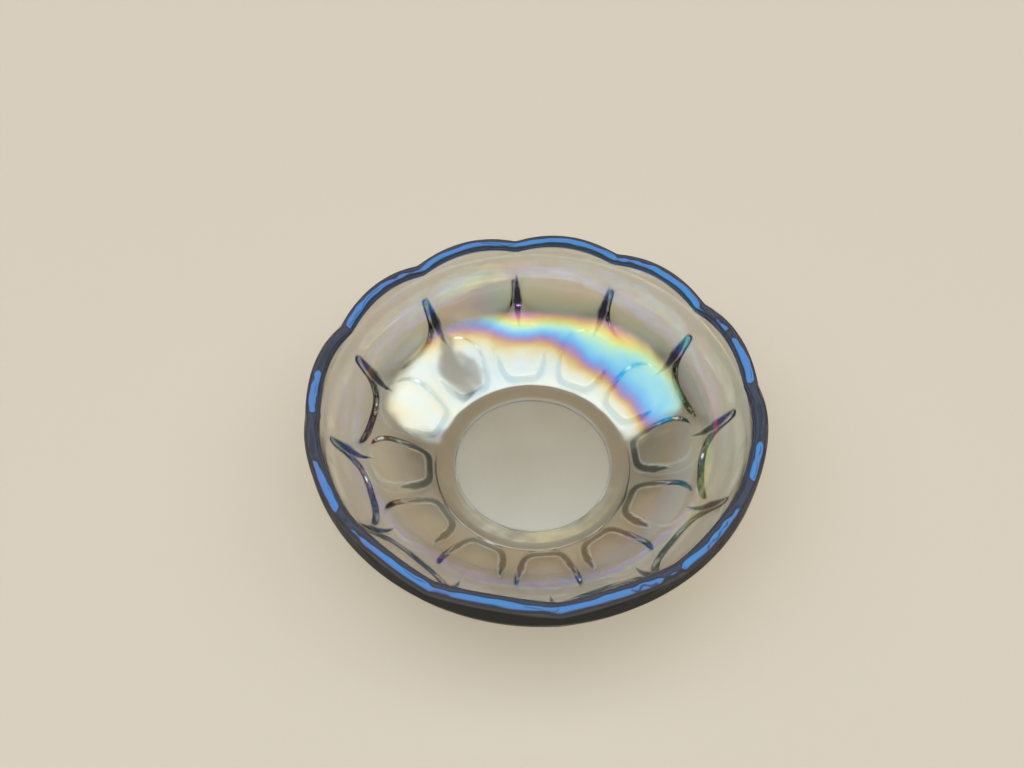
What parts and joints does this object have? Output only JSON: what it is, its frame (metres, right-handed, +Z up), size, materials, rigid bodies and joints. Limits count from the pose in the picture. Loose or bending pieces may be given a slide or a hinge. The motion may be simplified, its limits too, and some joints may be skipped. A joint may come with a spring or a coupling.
{
  "type": "pressed glass bowl",
  "caption": "Round pressed-glass bowl with a scalloped rim on a plain collar, staggered thumbprint ovals pressed into the outside, a foot ring and an iridescent smoke lustre.",
  "frame": {"origin": "centre of the bowl on the plane that the foot ring stands on", "axes": "+Z up along the bowl's axis, out of its mouth; +X through the crest of one scallop"},
  "size_m": [0.18, 0.18, 0.0542],
  "materials": {
    "smoke_glass": "smooth pressed smoke-grey glass, fire-polished rim, fired-on iridescent metallic lustre with a fine grain"
  },
  "bodies": {
    "root": {"glass_bowl": "smoke_glass"}
  },
  "joints": []
}
